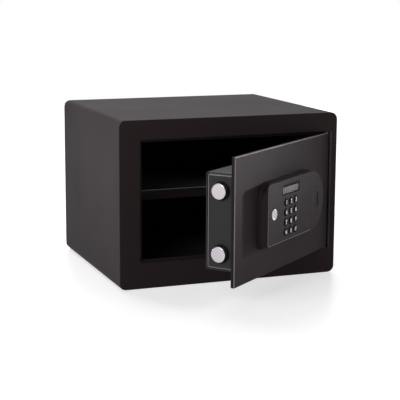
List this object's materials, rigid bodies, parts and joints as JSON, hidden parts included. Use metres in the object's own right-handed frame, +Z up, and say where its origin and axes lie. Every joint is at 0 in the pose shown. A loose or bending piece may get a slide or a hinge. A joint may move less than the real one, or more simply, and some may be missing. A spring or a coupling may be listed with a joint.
{
  "type": "biometric safe",
  "caption": "Small steel safe with a part-open hinged door, motor-driven round locking bolts, a keypad with a display and a fingerprint reader, and a carpeted half shelf.",
  "frame": {"origin": "middle of the cabinet's underside, where it stands on a surface", "axes": "+Z up, -Y out of the front of the cabinet, +X towards the hinge side"},
  "size_m": [0.35, 0.4867, 0.25],
  "materials": {
    "powder_coat": "fine satin black powder coat",
    "carpet": "needle-punched dark carpet",
    "zinc_steel": "zinc-plated steel",
    "dark_steel": "blackened steel",
    "chrome": "bright chromed steel",
    "satin_metal": "satin turned metal",
    "brass": "machined brass",
    "black_abs": "moulded black ABS",
    "key_plastic": "smooth black key caps",
    "nylon": "moulded black nylon",
    "display_glass": "clear display window",
    "display_panel": "grey-green display",
    "sensor_glass": "coated black sensor glass",
    "circuit_board": "green circuit board",
    "cell_wrap": "plain battery sleeve",
    "red_plastic": "moulded red button"
  },
  "bodies": {
    "cabinet": {"body_shell": "powder_coat", "front_frame": "powder_coat", "back_panel": "powder_coat", "door_stop": "powder_coat", "hinge_washer": "nylon", "shelf": "powder_coat", "shelf_mat": "carpet", "shelf_support_left": "powder_coat", "shelf_support_right": "powder_coat", "floor_mat": "carpet"},
    "door": {"door_plate": "powder_coat", "hinge_pin_upper": "dark_steel", "hinge_pin_lower": "dark_steel", "lock_box_side": "powder_coat", "lock_box_cover": "powder_coat", "cover_post": "zinc_steel", "cover_screw_1": "dark_steel", "cover_screw_2": "dark_steel", "cover_screw_3": "dark_steel", "bolt_bush_upper": "nylon", "bolt_bush_lower": "nylon", "motor_bracket": "zinc_steel", "gear_motor": "dark_steel", "lock_cylinder": "satin_metal", "battery_case": "black_abs", "battery_1": "cell_wrap", "battery_2": "cell_wrap", "battery_3": "cell_wrap", "battery_4": "cell_wrap", "reset_switch": "black_abs", "control_board": "circuit_board", "keypad_cable": "nylon", "control_housing": "black_abs", "keypad_board": "circuit_board", "display_module": "display_panel", "display_window": "display_glass", "fingerprint_sensor": "sensor_glass"},
    "bolt_set": {"bolt_carrier": "zinc_steel", "drive_rack": "brass", "locking_bolt_upper": "chrome", "locking_bolt_lower": "chrome"},
    "pinion": {"drive_pinion": "brass"},
    "lock_core": {"cylinder_plug": "brass", "lock_cam": "zinc_steel"},
    "key_cover": {"key_cover": "satin_metal"},
    "battery_cover": {"battery_cover": "black_abs"},
    "reset_button": {"reset_button": "red_plastic"},
    "key_1": {"key_1": "key_plastic"},
    "key_2": {"key_2": "key_plastic"},
    "key_3": {"key_3": "key_plastic"},
    "key_4": {"key_4": "key_plastic"},
    "key_5": {"key_5": "key_plastic"},
    "key_6": {"key_6": "key_plastic"},
    "key_7": {"key_7": "key_plastic"},
    "key_8": {"key_8": "key_plastic"},
    "key_9": {"key_9": "key_plastic"},
    "key_star": {"key_star": "key_plastic"},
    "key_0": {"key_0": "key_plastic"},
    "key_hash": {"key_hash": "key_plastic"}
  },
  "joints": [
    {"name": "door_swing", "type": "hinge", "parent": "cabinet", "child": "door", "pos_m": [0.158, -0.14725, 0.13], "axis": [0, 0, 1], "range_deg": [-39, 66]},
    {"name": "bolt_throw", "type": "slide", "parent": "door", "child": "bolt_set", "axis": [-0.7771, -0.6293, 0], "range_m": [0, 0.02]},
    {"name": "pinion_turn", "type": "hinge", "parent": "door", "child": "pinion", "pos_m": [0.00347, -0.24118, 0.0881], "axis": [0.6293, -0.7771, 0], "range_deg": [0, 191]},
    {"name": "plug_turn", "type": "hinge", "parent": "door", "child": "lock_core", "pos_m": [-0.01039, -0.27428, 0.129], "axis": [-0.6293, 0.7771, 0], "range_deg": [0, 90]},
    {"name": "key_cover_lift", "type": "slide", "parent": "door", "child": "key_cover", "axis": [0.6293, -0.7771, 0], "range_m": [0, 0.012]},
    {"name": "battery_cover_lift", "type": "slide", "parent": "door", "child": "battery_cover", "axis": [-0.6293, 0.7771, 0], "range_m": [0, 0.025]},
    {"name": "reset_press", "type": "slide", "parent": "door", "child": "reset_button", "axis": [0.6293, -0.7771, 0], "range_m": [0, 0.0015], "stiffness_N_per_m": 500, "springref_m": -0.0005},
    {"name": "key_1_press", "type": "slide", "parent": "door", "child": "key_1", "axis": [-0.6293, 0.7771, 0], "range_m": [0, 0.0008], "stiffness_N_per_m": 500, "springref_m": -0.0005},
    {"name": "key_2_press", "type": "slide", "parent": "door", "child": "key_2", "axis": [-0.6293, 0.7771, 0], "range_m": [0, 0.0008], "stiffness_N_per_m": 500, "springref_m": -0.0005},
    {"name": "key_3_press", "type": "slide", "parent": "door", "child": "key_3", "axis": [-0.6293, 0.7771, 0], "range_m": [0, 0.0008], "stiffness_N_per_m": 500, "springref_m": -0.0005},
    {"name": "key_4_press", "type": "slide", "parent": "door", "child": "key_4", "axis": [-0.6293, 0.7771, 0], "range_m": [0, 0.0008], "stiffness_N_per_m": 500, "springref_m": -0.0005},
    {"name": "key_5_press", "type": "slide", "parent": "door", "child": "key_5", "axis": [-0.6293, 0.7771, 0], "range_m": [0, 0.0008], "stiffness_N_per_m": 500, "springref_m": -0.0005},
    {"name": "key_6_press", "type": "slide", "parent": "door", "child": "key_6", "axis": [-0.6293, 0.7771, 0], "range_m": [0, 0.0008], "stiffness_N_per_m": 500, "springref_m": -0.0005},
    {"name": "key_7_press", "type": "slide", "parent": "door", "child": "key_7", "axis": [-0.6293, 0.7771, 0], "range_m": [0, 0.0008], "stiffness_N_per_m": 500, "springref_m": -0.0005},
    {"name": "key_8_press", "type": "slide", "parent": "door", "child": "key_8", "axis": [-0.6293, 0.7771, 0], "range_m": [0, 0.0008], "stiffness_N_per_m": 500, "springref_m": -0.0005},
    {"name": "key_9_press", "type": "slide", "parent": "door", "child": "key_9", "axis": [-0.6293, 0.7771, 0], "range_m": [0, 0.0008], "stiffness_N_per_m": 500, "springref_m": -0.0005},
    {"name": "key_star_press", "type": "slide", "parent": "door", "child": "key_star", "axis": [-0.6293, 0.7771, 0], "range_m": [0, 0.0008], "stiffness_N_per_m": 500, "springref_m": -0.0005},
    {"name": "key_0_press", "type": "slide", "parent": "door", "child": "key_0", "axis": [-0.6293, 0.7771, 0], "range_m": [0, 0.0008], "stiffness_N_per_m": 500, "springref_m": -0.0005},
    {"name": "key_hash_press", "type": "slide", "parent": "door", "child": "key_hash", "axis": [-0.6293, 0.7771, 0], "range_m": [0, 0.0008], "stiffness_N_per_m": 500, "springref_m": -0.0005}
  ],
  "couplings": [
    {"joint": "pinion_turn", "follows": "bolt_throw", "rad_per_m": 166.67}
  ]
}
